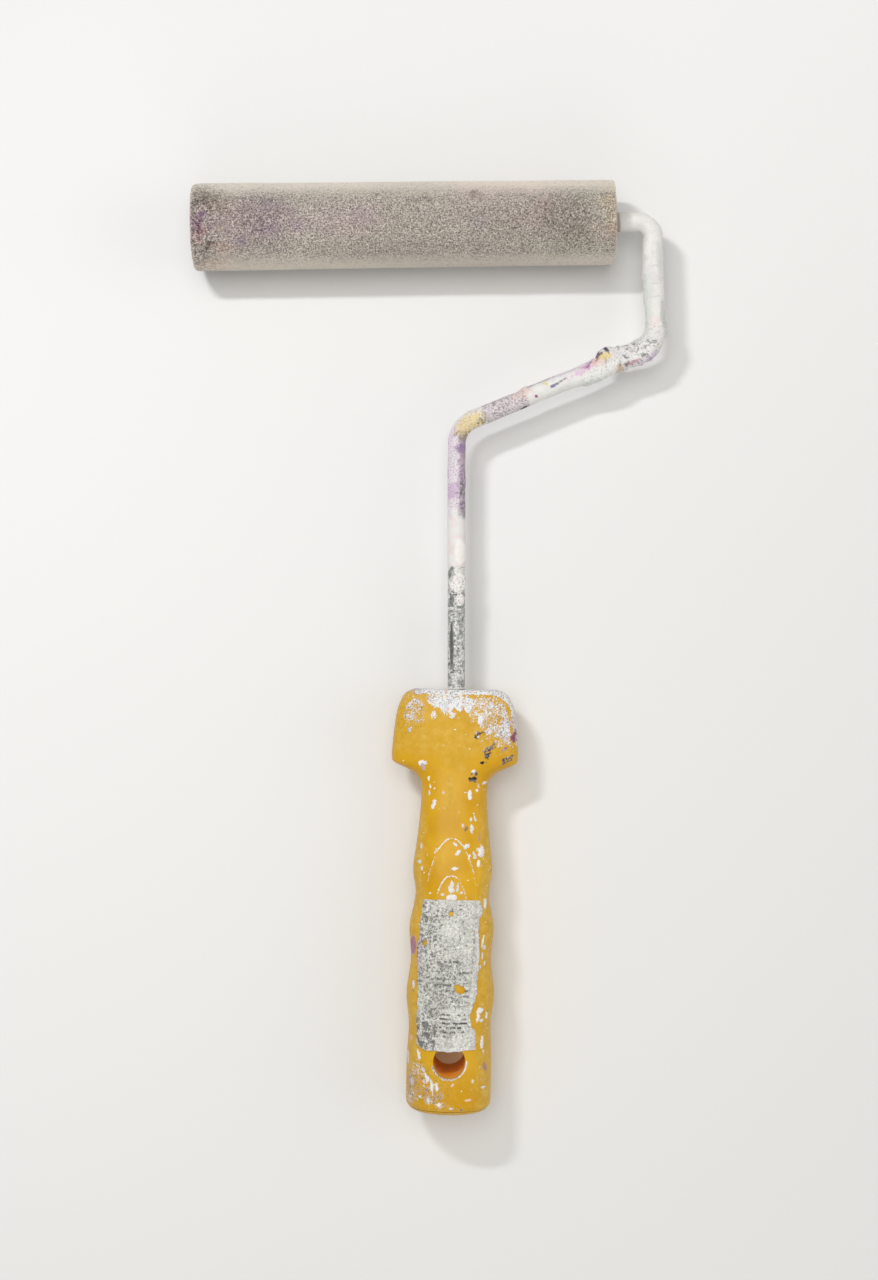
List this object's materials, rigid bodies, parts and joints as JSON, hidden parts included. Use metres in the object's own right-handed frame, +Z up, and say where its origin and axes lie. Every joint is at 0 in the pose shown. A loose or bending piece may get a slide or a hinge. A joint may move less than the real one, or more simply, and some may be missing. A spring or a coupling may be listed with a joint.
{
  "type": "paint roller",
  "caption": "Small hand paint roller: a bent steel rod in a waisted plastic handle with finger swells and a hang hole carries a plug-on foam cover that spins.",
  "frame": {"origin": "centre of the bounding box's bottom face, with the roller lying flat on the bench", "axes": "+Z up from the bench, +X along the roller's spin axis from its free end to the rod's bend, +Y from the handle's tail towards the cover, the longest extent"},
  "size_m": [0.1676, 0.3324, 0.0308],
  "materials": {
    "zinc_rod": "zinc plated, crusted with dried white and lilac paint",
    "spring_steel": "bright",
    "handle_yellow": "satin ochre yellow, splashed with white paint round the guard",
    "label_sheet": "worn off-white label with torn edges",
    "nylon": "natural",
    "roller_foam": "fine open foam stained grey-beige by dried paint",
    "core_white": "plain moulded",
    "plug_grey": "plain moulded"
  },
  "bodies": {
    "frame": {"frame_rod": "zinc_rod", "stop_collar": "spring_steel", "handle_body": "handle_yellow", "tail_cap": "handle_yellow", "rod_lock_washer": "spring_steel", "handle_label": "label_sheet"},
    "bearings": {"near_bush": "nylon", "far_bush": "nylon", "retaining_spring": "spring_steel"},
    "roller": {"foam_sleeve": "roller_foam", "core_tube": "core_white", "near_end_plug": "plug_grey", "far_end_plug": "plug_grey"}
  },
  "joints": [
    {"name": "cover_pull_off", "type": "slide", "parent": "frame", "child": "bearings", "axis": [-1, 0, 0], "range_m": [0, 0.15]},
    {"name": "roller_spin", "type": "hinge", "parent": "bearings", "child": "roller", "pos_m": [-0.00879, 0.15077, 0.0154], "axis": [1, 0, 0], "continuous": true}
  ]
}
